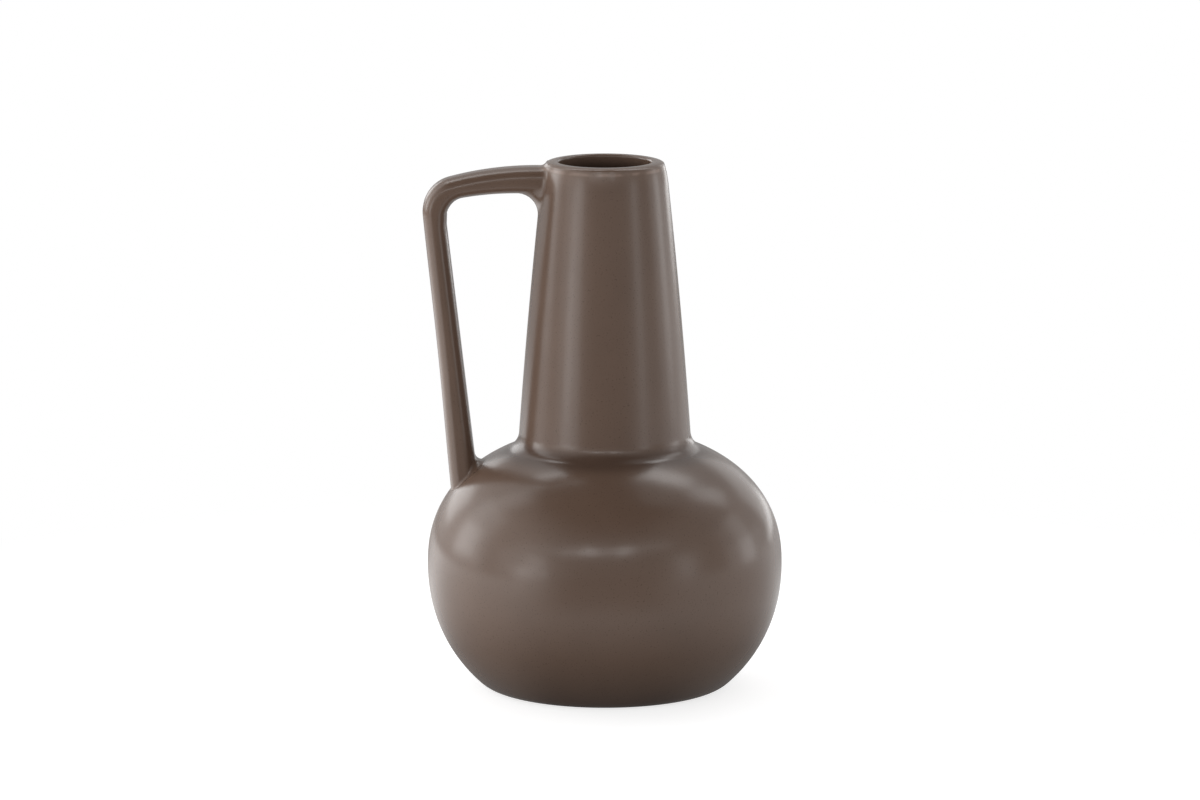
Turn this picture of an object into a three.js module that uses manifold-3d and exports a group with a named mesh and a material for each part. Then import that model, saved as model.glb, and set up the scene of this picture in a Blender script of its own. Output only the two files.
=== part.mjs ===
// Stoneware vase: a round bulb, a tapering neck and a strap handle, joined as a potter joins them.
// Units are millimetres and +Z is up. The origin is on the vase's axis, where it stands.
// The handle is on the -X side.

import * as THREE from 'three';
import { mergeVertices } from 'three/addons/utils/BufferGeometryUtils.js';
import Module from 'manifold-3d';

const wasm = await Module();
wasm.setup();

// Driving dimensions of the bulb
const BELLY_RADIUS = 90;
const BELLY_HEIGHT = 63.7;
const SHOULDER_POWER = 2.22; // 2 is an ellipse, more is fuller
const UNDERSIDE_POWER = 2.12;
const FOOT_RADIUS = 60; // where the side would meet the table if its corner were sharp
const FOOT_ROUND = 14.7;
const FOOT_RING_WIDTH = 8.5;
const FOOT_RECESS = 1.8;
const FOOT_RECESS_BEVEL = 1.2;
const FLOOR_THICKNESS = 6;
const WALL = 5.5;

// Driving dimensions of the neck
const SEAM_RADIUS = 43.9; // where neck and shoulder would meet if their corner were sharp
const SEAM_HEIGHT = 124.4;
const SEAM_FILLET = 10;
const NECK_TOP_RADIUS = 31;
const NECK_TOP_HEIGHT = 267.6;
const NECK_SWELL = 0.73;
const LIP_WALL = 7.6;
const LIP_OUTER_WIDTH = 4.7;
const LIP_OUTER_HEIGHT = 1.7;
const LIP_INNER_ROUND = 1.4;
const LIP_LAND = 0.5; // the least flat width left between the lip's two rounds

// Driving dimensions of the handle
const HANDLE_DEPTH = 22; // front to back
const HANDLE_EDGE = 5.4; // how far its oval edges reach across its thickness
const HANDLE_EDGE_DEPTH = 8.5; // how far they reach front to back
const HANDLE_EDGE_LAND = 0.3; // the least flat width left between two edges
const HANDLE_BELOW_LIP = 2.65; // from the lip's top down to the top of the bar
const HANDLE_OVERHANG = 1.9; // how far the corner stands out past the belly
const HANDLE_FOOT_INSET = 12; // from the belly's edge in to where the leg's outer face meets the bulb
const HANDLE_CORNER = 17.7; // radius of the outer face at the corner
const HANDLE_INNER_CORNER = 12; // radius of the inner face there
const HANDLE_SLOPE = THREE.MathUtils.degToRad(15); // of the bar where it meets the corner
const BAR_ARCH = 170; // radius of the bar's slow curve
const BAR_THICKNESS_AT_NECK = 14.9;
const BAR_THICKNESS_AT_CORNER = 11.1;
const LEG_THICKNESS_AT_TOP = 11.3;
const LEG_THICKNESS_AT_FOOT = 14;
const LEG_HOLLOW = 0.5; // how deep the leg's outer face curves in halfway down
const UNDER_BAR_FILLET = 11;

// Clearance, and how finely round shapes are divided
const JOINT_GAP = 0.3; // room for the slip that sticks the handle on
const ROUND_STEPS = 64;
const SIDE_STEPS = 10;
const FOOT_ROUND_STEPS = 4;
const FILLET_STEPS = 4;
const NECK_STEPS = 5;
const LIP_STEPS = 3;
const BAR_STEPS = 6;
const CORNER_STEPS = 7;
const LEG_STEPS = 4;
const EDGE_STEPS = 4;
const HALVINGS = 60; // of a range, in a search for a place on a curve
const SEARCH_MARGIN = 0.1; // radians that a search stays off the ends of a quarter turn
const MERGE_DISTANCE = 1e-4;

const GLAZE = new THREE.MeshStandardMaterial({ color: 0x63564d, roughness: 0.48, metalness: 0 });

// Halves the range low to high until it closes on the place where f changes sign.
function root(f, low, high) {
  const rising = f(high) > 0;
  for (let i = 0; i < HALVINGS; i += 1) {
    const middle = (low + high) / 2;
    if (f(middle) > 0 === rising) {
      high = middle;
    } else {
      low = middle;
    }
  }
  return (low + high) / 2;
}

// A point of the outline: its distance from the axis, its height and the way its surface faces.
function outlinePoint(radius, height, facing) {
  return { radius, height, facing };
}

function shifted(point, distance) {
  return new THREE.Vector2(
    point.radius + distance * Math.cos(point.facing),
    point.height + distance * Math.sin(point.facing),
  );
}

// The bulb's side is a rounded curve: (radius/BELLY_RADIUS)^power + (rise/reach)^power = 1.
// It passes through the belly's edge and one more point, which sets its reach.
function sideCurve(power, endRadius, endHeight) {
  const endShare = 1 - (endRadius / BELLY_RADIUS) ** power;
  const reach = (endHeight - BELLY_HEIGHT) / endShare ** (1 / power);
  // turn runs from 0 at the belly to a quarter turn on the axis
  return (turn) => {
    const across = Math.cos(turn) ** (2 / power);
    const along = Math.sin(turn) ** (2 / power);
    const slopeAcross = across ** (power - 1) / BELLY_RADIUS;
    const slopeAlong = along ** (power - 1) / reach;
    return outlinePoint(
      BELLY_RADIUS * across,
      BELLY_HEIGHT + reach * along,
      Math.atan2(slopeAlong, slopeAcross),
    );
  };
}

const shoulder = sideCurve(SHOULDER_POWER, SEAM_RADIUS, SEAM_HEIGHT);
const underside = sideCurve(UNDERSIDE_POWER, FOOT_RADIUS, 0);
const QUARTER = Math.PI / 2;

// The neck's side is a very flat arc through the seam and the top, bulging by the swell.
function neckArc() {
  const low = new THREE.Vector2(SEAM_RADIUS, SEAM_HEIGHT);
  const high = new THREE.Vector2(NECK_TOP_RADIUS, NECK_TOP_HEIGHT);
  const half = low.distanceTo(high) / 2;
  const radius = (half ** 2 + NECK_SWELL ** 2) / (2 * NECK_SWELL);
  const middle = low.clone().add(high).divideScalar(2);
  const inward = new THREE.Vector2(low.y - high.y, high.x - low.x).normalize();
  const centre = middle.addScaledVector(inward, radius - NECK_SWELL);
  return { centre, radius, topFacing: high.clone().sub(centre).angle() };
}

const neck = neckArc();

// The hollow fillet touches the shoulder curve below it and the neck's arc above it.
const filletTurn = root(
  (turn) => shifted(shoulder(turn), SEAM_FILLET).distanceTo(neck.centre) - neck.radius - SEAM_FILLET,
  SEARCH_MARGIN,
  QUARTER - SEARCH_MARGIN,
);
const filletCentre = shifted(shoulder(filletTurn), SEAM_FILLET);
const filletFacing = filletCentre.clone().sub(neck.centre).angle();

// The foot's round touches the table and the side above it.
const footTurn = root(
  (turn) => shifted(underside(turn), -FOOT_ROUND).y - FOOT_ROUND,
  SEARCH_MARGIN,
  QUARTER - SEARCH_MARGIN,
);
const footCentre = shifted(underside(footTurn), -FOOT_ROUND);

// Points along an arc, facing away from its centre, or towards it on a hollow one.
function arc(centre, radius, from, to, steps, hollow = false) {
  const points = [];
  for (let i = 0; i <= steps; i += 1) {
    const facing = from + ((to - from) * i) / steps;
    const away = hollow ? -radius : radius;
    points.push(
      outlinePoint(centre.x + away * Math.cos(facing), centre.y + away * Math.sin(facing), facing),
    );
  }
  return points;
}

function along(curve, from, to, steps) {
  const points = [];
  for (let i = 0; i <= steps; i += 1) {
    points.push(curve(from + ((to - from) * i) / steps));
  }
  return points;
}

const seam = shoulder(filletTurn);
const bulbOutline = [
  ...arc(footCentre, FOOT_ROUND, -QUARTER, underside(footTurn).facing, FOOT_ROUND_STEPS),
  ...along(underside, footTurn, 0, SIDE_STEPS).slice(1, -1),
  ...along(shoulder, 0, filletTurn, SIDE_STEPS),
];
const neckOutline = [
  ...arc(filletCentre, SEAM_FILLET, seam.facing, filletFacing, FILLET_STEPS, true),
  ...arc(neck.centre, neck.radius, filletFacing, neck.topFacing, NECK_STEPS).slice(1),
];

// The inner side follows the outer one, a wall's thickness in. The neck's wall thickens upwards.
const bulbInside = bulbOutline.map((point) => shifted(point, -WALL));
const neckInside = neckOutline.map((point) => {
  const height = THREE.MathUtils.clamp(point.height, SEAM_HEIGHT, NECK_TOP_HEIGHT);
  const wall = THREE.MathUtils.mapLinear(height, SEAM_HEIGHT, NECK_TOP_HEIGHT, WALL, LIP_WALL);
  return shifted(point, -wall);
});

// Keeps what lies between two heights, with new end points exactly on them.
function between(points, low, high) {
  const kept = [];
  points.forEach((point, i) => {
    const next = points[i + 1];
    if (point.y >= low && point.y <= high) {
      kept.push(point);
    }
    if (next === undefined) {
      return;
    }
    for (const height of [low, high]) {
      if ((point.y - height) * (next.y - height) < 0) {
        kept.push(point.clone().lerp(next, (height - point.y) / (next.y - point.y)));
      }
    }
  });
  return kept;
}

const lipTop = NECK_TOP_HEIGHT + LIP_OUTER_HEIGHT;
const mouthRadius = NECK_TOP_RADIUS - LIP_WALL;
const lipOuterWidth = Math.min(LIP_OUTER_WIDTH, LIP_WALL - LIP_INNER_ROUND - LIP_LAND);
const floorTop = FOOT_RECESS + FLOOR_THICKNESS;
const inside = between([...bulbInside, ...neckInside], floorTop, lipTop - LIP_INNER_ROUND);
const insideBelowSeam = between(inside, floorTop, seam.height);
const insideAboveSeam = between(inside, seam.height, lipTop - LIP_INNER_ROUND);

// A quarter of an oval, from its side up to its top or back down.
function lipRound(centreX, centreY, width, height, from, to) {
  const points = [];
  for (let i = 0; i <= LIP_STEPS; i += 1) {
    const turn = from + ((to - from) * i) / LIP_STEPS;
    points.push(new THREE.Vector2(centreX + width * Math.cos(turn), centreY + height * Math.sin(turn)));
  }
  return points;
}

function flat(outline) {
  return outline.map((point) => shifted(point, 0));
}

function turned(points) {
  return new THREE.LatheGeometry(points, ROUND_STEPS).rotateX(QUARTER);
}

function bulbGeometry() {
  const ringInside = footCentre.x - FOOT_RING_WIDTH;
  return turned([
    new THREE.Vector2(0, FOOT_RECESS),
    new THREE.Vector2(ringInside - FOOT_RECESS_BEVEL, FOOT_RECESS),
    new THREE.Vector2(ringInside, 0),
    ...flat(bulbOutline),
    ...insideBelowSeam.reverse(),
    new THREE.Vector2(0, floorTop),
  ]);
}

function neckGeometry() {
  const outer = flat(neckOutline);
  const lipOuter = lipRound(
    NECK_TOP_RADIUS - lipOuterWidth,
    NECK_TOP_HEIGHT,
    lipOuterWidth,
    LIP_OUTER_HEIGHT,
    0,
    QUARTER,
  );
  const lipInner = lipRound(
    mouthRadius + LIP_INNER_ROUND,
    lipTop - LIP_INNER_ROUND,
    LIP_INNER_ROUND,
    LIP_INNER_ROUND,
    QUARTER,
    2 * QUARTER,
  );
  return turned([
    ...outer,
    ...lipOuter.slice(1),
    ...lipInner.slice(0, -1),
    ...insideAboveSeam.reverse(),
    outer[0],
  ]);
}

// A closed mesh with shared corners and no flat triangles, as the cutter needs it.
function solid(geometry) {
  const bare = geometry.clone();
  bare.deleteAttribute('normal');
  bare.deleteAttribute('uv');
  const merged = mergeVertices(bare, MERGE_DISTANCE);
  const corners = merged.index.array;
  const kept = [];
  for (let i = 0; i < corners.length; i += 3) {
    const [a, b, c] = corners.slice(i, i + 3);
    if (a !== b && b !== c && c !== a) {
      kept.push(a, b, c);
    }
  }
  return new wasm.Manifold(
    new wasm.Mesh({
      numProp: 3,
      vertProperties: new Float32Array(merged.attributes.position.array),
      triVerts: new Uint32Array(kept),
    }),
  );
}

function geometryOf(manifold) {
  const mesh = manifold.getMesh();
  const geometry = new THREE.BufferGeometry();
  geometry.setAttribute('position', new THREE.BufferAttribute(mesh.vertProperties, 3));
  geometry.setIndex(new THREE.BufferAttribute(mesh.triVerts, 1));
  geometry.computeVertexNormals();
  return geometry;
}

// All that the handle's ends are cut to: the vase's outside without its hollow, one joint gap larger.
function handleSeat() {
  const outside = [...bulbOutline, ...neckOutline.slice(1)];
  const grown = outside.map((point) => shifted(point, JOINT_GAP));
  return solid(
    turned([
      new THREE.Vector2(0, grown[0].y),
      ...grown,
      new THREE.Vector2(NECK_TOP_RADIUS + JOINT_GAP, lipTop + JOINT_GAP),
      new THREE.Vector2(0, lipTop + JOINT_GAP),
    ]),
  );
}

// Height of the shoulder's surface at a distance from the axis.
function shoulderHeight(radius) {
  const turn = root((t) => shoulder(t).radius - radius, 0, QUARTER);
  return shoulder(turn).height;
}

// Distance of the neck's surface from the axis at a height.
function neckRadius(height) {
  const rise = height - neck.centre.y;
  return neck.centre.x + Math.sqrt(neck.radius ** 2 - rise ** 2);
}

// The handle's outer face, in steps from inside the neck to inside the bulb. reach is the
// distance from the axis, and heading is 0 outwards and a quarter turn straight down.
function handleLine() {
  const cornerReach = BELLY_RADIUS + HANDLE_OVERHANG - HANDLE_CORNER;
  const archReach = cornerReach - (BAR_ARCH - HANDLE_CORNER) * Math.sin(HANDLE_SLOPE);
  const archHeight = lipTop - HANDLE_BELOW_LIP - BAR_ARCH;
  const cornerHeight = archHeight + (BAR_ARCH - HANDLE_CORNER) * Math.cos(HANDLE_SLOPE);

  // the leg leaves the corner's round and meets the bulb at its foot
  const footReach = BELLY_RADIUS - HANDLE_FOOT_INSET;
  const toFoot = new THREE.Vector2(footReach - cornerReach, cornerHeight - shoulderHeight(footReach));
  const legHeading = QUARTER + toFoot.angle() - Math.acos(HANDLE_CORNER / toFoot.length());
  const legRun = Math.sqrt(toFoot.lengthSq() - HANDLE_CORNER ** 2);
  const cornerRun = HANDLE_CORNER * (legHeading - HANDLE_SLOPE);
  const startHeading = Math.asin((NECK_TOP_RADIUS / 2 - archReach) / BAR_ARCH);
  const barRun = BAR_ARCH * (HANDLE_SLOPE - startHeading);

  // The inner face's round is wider than one about the corner's centre, so its own centre is
  // further in, and the clay is fuller there. The round reaches past the corner's ends.
  const halfTurn = (legHeading - HANDLE_SLOPE) / 2;
  const evenInner = HANDLE_CORNER - (BAR_THICKNESS_AT_CORNER + LEG_THICKNESS_AT_TOP) / 2;
  const furtherIn = (HANDLE_INNER_CORNER - evenInner) / Math.cos(halfTurn);
  const pastEnds = furtherIn * Math.sin(halfTurn);
  const fullness = (run) => {
    const turn = (run - barRun) / HANDLE_CORNER - halfTurn;
    const past = Math.max(Math.abs(turn) - halfTurn, 0) * HANDLE_CORNER;
    const within = THREE.MathUtils.clamp(turn, -halfTurn, halfTurn);
    const aside = Math.max(furtherIn * Math.sin(Math.abs(within)) - past, 0);
    return evenInner + furtherIn * Math.cos(within) - Math.sqrt(HANDLE_INNER_CORNER ** 2 - aside ** 2);
  };
  const onBar = (run) => {
    const share = run / barRun;
    const heading = THREE.MathUtils.lerp(startHeading, HANDLE_SLOPE, share);
    return {
      reach: archReach + BAR_ARCH * Math.sin(heading),
      height: archHeight + BAR_ARCH * Math.cos(heading),
      heading,
      thickness:
        THREE.MathUtils.lerp(BAR_THICKNESS_AT_NECK, BAR_THICKNESS_AT_CORNER, share) + fullness(run),
    };
  };
  const onCorner = (run) => {
    const share = run / cornerRun;
    const heading = THREE.MathUtils.lerp(HANDLE_SLOPE, legHeading, share);
    return {
      reach: cornerReach + HANDLE_CORNER * Math.sin(heading),
      height: cornerHeight + HANDLE_CORNER * Math.cos(heading),
      heading,
      thickness:
        THREE.MathUtils.lerp(BAR_THICKNESS_AT_CORNER, LEG_THICKNESS_AT_TOP, share) + fullness(barRun + run),
    };
  };
  const legTop = onCorner(cornerRun);
  const onLeg = (run) => {
    const share = run / legRun;
    const hollow = LEG_HOLLOW * Math.sin(Math.PI * Math.min(share, 1)) ** 2;
    const full = fullness(barRun + cornerRun + run);
    return {
      reach: legTop.reach + run * Math.cos(legHeading) - hollow * Math.sin(legHeading),
      height: legTop.height - run * Math.sin(legHeading) - hollow * Math.cos(legHeading),
      heading: legHeading,
      thickness: THREE.MathUtils.lerp(LEG_THICKNESS_AT_TOP, LEG_THICKNESS_AT_FOOT, share) - hollow + full,
    };
  };
  // the leg's last step is inside the bulb, far enough for the cut to trim all of it
  return [
    ...along(onBar, 0, barRun - pastEnds, BAR_STEPS),
    onBar(barRun - pastEnds / 2),
    ...along(onCorner, 0, cornerRun, CORNER_STEPS),
    onLeg(pastEnds / 2),
    ...along(onLeg, pastEnds, legRun, LEG_STEPS),
    onLeg(legRun + LEG_THICKNESS_AT_FOOT),
  ];
}

// A point on the outer face at a step, or as deep under it as given.
function under(station, depth) {
  return new THREE.Vector2(
    station.reach - depth * Math.sin(station.heading),
    station.height - depth * Math.cos(station.heading),
  );
}

// Pairs of points, one on the outer face and the one under it on the inner face, with the inner
// face's round into the neck under the bar.
function faces(stations) {
  const pairs = stations.map((station) => [under(station, 0), under(station, station.thickness)]);
  const first = pairs.findIndex(
    ([, inner]) => inner.x > neckRadius(inner.y - UNDER_BAR_FILLET) + UNDER_BAR_FILLET,
  );
  const height = pairs[first][1].y - UNDER_BAR_FILLET;
  const centre = neckRadius(height) + UNDER_BAR_FILLET;

  // a pair straight above one another, on the bar's arch and at a height under it
  const lipSide = stations[0];
  const archReach = lipSide.reach - BAR_ARCH * Math.sin(lipSide.heading);
  const archHeight = lipSide.height - BAR_ARCH * Math.cos(lipSide.heading);
  const upright = (reach, innerHeight) => [
    new THREE.Vector2(reach, archHeight + Math.sqrt(BAR_ARCH ** 2 - (reach - archReach) ** 2)),
    new THREE.Vector2(reach, innerHeight),
  ];
  const round = [];
  for (let i = 0; i <= FILLET_STEPS; i += 1) {
    const turn = (QUARTER * i) / FILLET_STEPS;
    round.push(
      upright(centre - UNDER_BAR_FILLET * Math.cos(turn), height + UNDER_BAR_FILLET * Math.sin(turn)),
    );
  }
  return [upright(NECK_TOP_RADIUS / 2, height), ...round, ...pairs.slice(first)];
}

// The strap's section between such a pair of points: a rectangle with oval edges.
function section([outer, inner]) {
  const thinnest = Math.min(BAR_THICKNESS_AT_CORNER, LEG_THICKNESS_AT_TOP);
  const edge = Math.min(HANDLE_EDGE, (thinnest - HANDLE_EDGE_LAND) / 2);
  const inwards = inner.clone().sub(outer);
  const thickness = inwards.length();
  inwards.normalize();
  const side = HANDLE_DEPTH / 2 - HANDLE_EDGE_DEPTH;
  const edges = [
    { deep: thickness - edge, across: side },
    { deep: thickness - edge, across: -side },
    { deep: edge, across: -side },
    { deep: edge, across: side },
  ];
  return edges.flatMap(({ deep, across }, quarter) =>
    along(
      (turn) => {
        const place = outer.clone().addScaledVector(inwards, deep + edge * Math.sin(turn));
        return new THREE.Vector3(-place.x, across + HANDLE_EDGE_DEPTH * Math.cos(turn), place.y);
      },
      quarter * QUARTER,
      (quarter + 1) * QUARTER,
      EDGE_STEPS,
    ),
  );
}

// A solid through rings of as many points each, closed flat at both ends.
function drawnThrough(rings) {
  const count = rings[0].length;
  const corners = [];
  for (let i = 1; i < rings.length; i += 1) {
    for (let j = 0; j < count; j += 1) {
      const here = (i - 1) * count;
      const next = (j + 1) % count;
      corners.push(here + j, here + count + next, here + count + j);
      corners.push(here + j, here + next, here + count + next);
    }
  }
  const last = (rings.length - 1) * count;
  for (let j = 2; j < count; j += 1) {
    corners.push(0, j, j - 1, last, last + j - 1, last + j);
  }
  const geometry = new THREE.BufferGeometry().setFromPoints(rings.flat());
  geometry.setIndex(corners);
  return geometry;
}

function handleGeometry() {
  const strap = drawnThrough(faces(handleLine()).map(section));
  return geometryOf(solid(strap).subtract(handleSeat()));
}

function piece(name, geometry) {
  const mesh = new THREE.Mesh(geometry, GLAZE.clone());
  mesh.name = name;
  return mesh;
}

const vase = new THREE.Group();
vase.name = 'vase';
vase.add(piece('bulb', bulbGeometry()));
vase.add(piece('neck', neckGeometry()));
vase.add(piece('handle', handleGeometry()));

export default vase;
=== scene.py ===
from math import acos, asin, atan, atan2, cos, hypot, log2, pi, radians, sin, sqrt, tan

import bmesh
import bpy
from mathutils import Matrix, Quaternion, Vector


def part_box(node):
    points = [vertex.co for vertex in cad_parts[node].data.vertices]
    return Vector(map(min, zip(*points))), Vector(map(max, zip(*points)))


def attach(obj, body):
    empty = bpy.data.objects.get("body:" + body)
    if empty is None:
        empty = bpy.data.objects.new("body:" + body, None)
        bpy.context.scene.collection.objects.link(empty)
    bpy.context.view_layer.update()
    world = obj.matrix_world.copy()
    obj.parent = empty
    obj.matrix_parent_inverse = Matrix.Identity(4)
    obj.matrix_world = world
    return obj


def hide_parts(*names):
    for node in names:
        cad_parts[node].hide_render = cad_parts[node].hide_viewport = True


# The looks of the stoneware vase: a fine bulb, neck and handle in one satin glaze, on a pale floor.
# Outlines are worked out in millimetres, as the potter's drawing has them, and placed in metres.
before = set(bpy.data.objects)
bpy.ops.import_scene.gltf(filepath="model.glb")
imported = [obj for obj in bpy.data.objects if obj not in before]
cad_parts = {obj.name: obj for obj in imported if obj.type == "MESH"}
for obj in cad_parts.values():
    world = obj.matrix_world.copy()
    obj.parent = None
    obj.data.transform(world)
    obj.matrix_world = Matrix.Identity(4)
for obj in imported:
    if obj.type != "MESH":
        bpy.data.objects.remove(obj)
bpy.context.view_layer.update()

MM = 0.001
QUARTER = pi / 2

# Sizes of the bulb and its foot
BELLY_RADIUS = 90.0
BELLY_HEIGHT = 63.7
SHOULDER_POWER = 2.22
UNDERSIDE_POWER = 2.12
FOOT_RADIUS = 60.0
FOOT_ROUND = 14.7
FOOT_RING_WIDTH = 8.5
FOOT_RECESS = 1.8
FOOT_RECESS_BEVEL = 1.2
FOOT_RING_EASE = 0.5
FLOOR_THICKNESS = 6.0
FLOOR_ROUND = 9.0
WALL = 5.5

# Sizes of the neck and its lip
SEAM_RADIUS = 43.9
SEAM_HEIGHT = 124.4
SEAM_FILLET = 10.0
NECK_TOP_RADIUS = 31.0
NECK_TOP_HEIGHT = 267.6
NECK_SWELL = 0.73
LIP_WALL = 7.6
LIP_DRAWN_IN = 0.9
LIP_DRAWN_REACH = 9.6
LIP_OUTER_WIDTH = 4.7
LIP_OUTER_HEIGHT = 1.7
LIP_INNER_ROUND = 1.4

# Sizes of the handle
HANDLE_DEPTH = 22.0
HANDLE_EDGE = 5.4
HANDLE_EDGE_DEPTH = 8.5
HANDLE_BELOW_LIP = 2.65
HANDLE_FOOT_INSET = 12.0
HANDLE_CORNER = 17.7
HANDLE_INNER_CORNER = 12.0
HANDLE_SLOPE = radians(15)
BAR_ARCH = 170.0
BAR_THICKNESS_AT_NECK = 14.9
BAR_THICKNESS_AT_CORNER = 11.1
LEG_THICKNESS_AT_TOP = 11.3
LEG_THICKNESS_AT_FOOT = 14.0
LEG_HOLLOW = 0.5
HANDLE_CLEARANCE = 0.02

# Rounds of clay smoothed into the corners where the handle meets the neck and the bulb
NECK_JOIN_ROUND = 3.6
NECK_JOIN_ROUND_UNDER = 11.0
FOOT_JOIN_ROUND = 1.5
FOOT_JOIN_ROUND_INSIDE = 3.8
JOIN_TUCK = 0.7
JOIN_TUCK_DEPTH = 0.06
JOIN_ROOT_DEPTH = 1.6

# How finely the shapes are divided
TURN_STEPS = 176
SIDE_STEPS = 48
NECK_STEPS = 72
FILLET_STEPS = 14
FOOT_STEPS = 12
LIP_STEPS = 10
EDGE_STEPS = 12
BROAD_STEPS = 5
NARROW_STEPS = 4
BAR_RINGS = 22
CORNER_RINGS = 22
LEG_RINGS = 20
JOIN_RINGS = 10

# A piece's first primitive and the gap at which points are one, in metres, and the angles past which
# an edge stays crisp
START_SIZE = 0.01
SAME_POINT = 0.001 * MM
TURNED_EDGE = radians(35)
DRAWN_EDGE = radians(50)

# Where the searches for a touching point begin and end
TURN_SEARCH = (0.1, QUARTER - 0.1)
BAR_SEARCH_SHARE = 0.75
LEG_SEARCH_SHARE = 0.5

# The photograph's frame, in its own pixels, and how it sees the vase
PHOTO_WIDTH = 1200
PHOTO_HEIGHT = 800
PIXELS_PER_MM = 1.973
AIM_PIXEL = (604.8, 423.2)
AIM_HEIGHT = 135.0
CAMERA_DISTANCE = 3368.0
CAMERA_ELEVATION = radians(10.4)
SENSOR_WIDTH = 36.0
CLIP_END = 50

# The glaze, its painted shade and the bare clay under the foot ring: colours, and sizes and heights in
# metres
GLAZE_DEEP = (0.131, 0.0838, 0.0608, 1)
GLAZE_PALE = (0.1406, 0.0899, 0.0651, 1)
# painted shade for the crease at the seam, where the neck shades the shoulder
SEAM_PAINTED_SHADE = (0.062, 0.037, 0.027, 1)
GLAZE_THIN = (0.29, 0.2, 0.155, 1)
# painted shade for the inside of the neck, below the lip
INSIDE_PAINTED_SHADE = (0.024, 0.015, 0.011, 1)
GLAZE_SPECK = (0.06, 0.036, 0.025, 1)
GLAZE_ROUGHNESS = 0.23
GLAZE_IOR = 1.5
CLOUD_SIZE = 0.035
CLOUD_SPREAD = (0.3, 0.7)
CLOUD_DULLING = 0.04
GRAIN_SIZE = 0.0009
GRAIN_DULLING = 0.03
SPECK_SIZE = 0.0007
SPECK_SPREAD = (0.70, 0.78)
SPECK_DEPTH = 0.35
WAVE_SIZE = 0.028
WAVE_HEIGHT = 0.00015
PEEL_SIZE = 0.0026
PEEL_HEIGHT = 0.00002
CLAY_DEEP = (0.27, 0.19, 0.125, 1)
CLAY_PALE = (0.42, 0.31, 0.215, 1)
CLAY_ROUGHNESS = 0.85
CLAY_GRAIN_HEIGHT = 0.00006
GLAZE_EDGE_SIZE = 0.012
GLAZE_EDGE_HEIGHT = 0.0004
GLAZE_EDGE_WANDER = 0.0006

# Where the glaze changes, and where shade is painted into it at the seam and inside the neck: the two
# heights, distances from the axis or distances beyond the neck's outer side, in metres, between which each
# change comes, and its share
# painted shade in the crease at the seam
SEAM_SHADE_FROM_BELOW = (0.1135, 0.1225)
SEAM_SHADE_FROM_ABOVE = (0.130, 0.125)
SEAM_SHADE_FROM_OUTSIDE = (0.060, 0.050)
SEAM_SHADE_SHARE = 0.6
LIP_LINE_FROM_BELOW = (0.2651, 0.2661)
LIP_LINE_FROM_ABOVE = (0.2674, 0.2666)
LIP_LINE_BREAKS_SIZE = 0.007
LIP_LINE_BREAKS = (0.35, 0.6)
LIP_LINE_SHARES = (0.05, 0.5)
THINNING = (0.2575, 0.2665)
THINNING_SHARE = 0.1
OFF_THE_HANDLE = (0.0345, 0.033)
OUTER_SKIN = (-0.004, -0.0025)
# painted shade inside the neck: it starts below the lip and ends above the hollow's floor
INNER_SKIN = (-0.004, -0.006)
BELOW_THE_LIP = (0.2680, 0.2600)
ABOVE_THE_FOOT = (0.004, 0.02)

# The studio: a table top, softboxes and the room's own levels, where 1 is white
WHITE = (1, 1, 1, 1)
FLOOR_RADIUS = 4.0
FLOOR_SIDES = 96
FLOOR_GAP = 0.0002
FLOOR_COLOUR = 0.55
FLOOR_LIFT = 0.74
FLOOR_FADE = (0.28, 0.5)
GLOW_DISTANCES = (0.065, 0.1, 0.2, 0.4, 0.8, 1.6)
GLOW_LEFT = (0.22, 0.38, 1.15, 1.59, 2.27, 0.4)
GLOW_MIDDLE = (0.13, 0.18, 0.80, 0.24, 0.48, 0.10)
GLOW_RIGHT = (0.18, 0.30, 0.83, 0.88, 1.02, 0.93)
GLOW_BEHIND = 0.2
GLOW_LEFT_SIDE = (-0.35, -0.85)
GLOW_RIGHT_SIDE = (0.35, 0.85)
GLOW_BEHIND_SIDE = (0.2, 0.8)
GLOW_BEHIND_DISTANCE = (0.09, 0.3)
LIGHT_DISTANCE = 2.2
LIGHT_AIM = 110.0
ROOM_FRONT = 0.39
ROOM_BACK = 0.53
ROOM_LEFT = 0.62
ROOM_RIGHT = 0.08
CEILING_BACK = 1.27
CEILING_LEFT = 0.53
CEILING_RIGHT = 0.28
ROOM_LEFT_SIDE = (-0.2, -0.8)
ROOM_RIGHT_SIDE = (0.2, 0.8)
ROOM_BACK_SIDE = (-0.2, 0.7)
CEILING_START = (0.55, 0.9)
CEILING_END = (0.8, 0.93)

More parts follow.
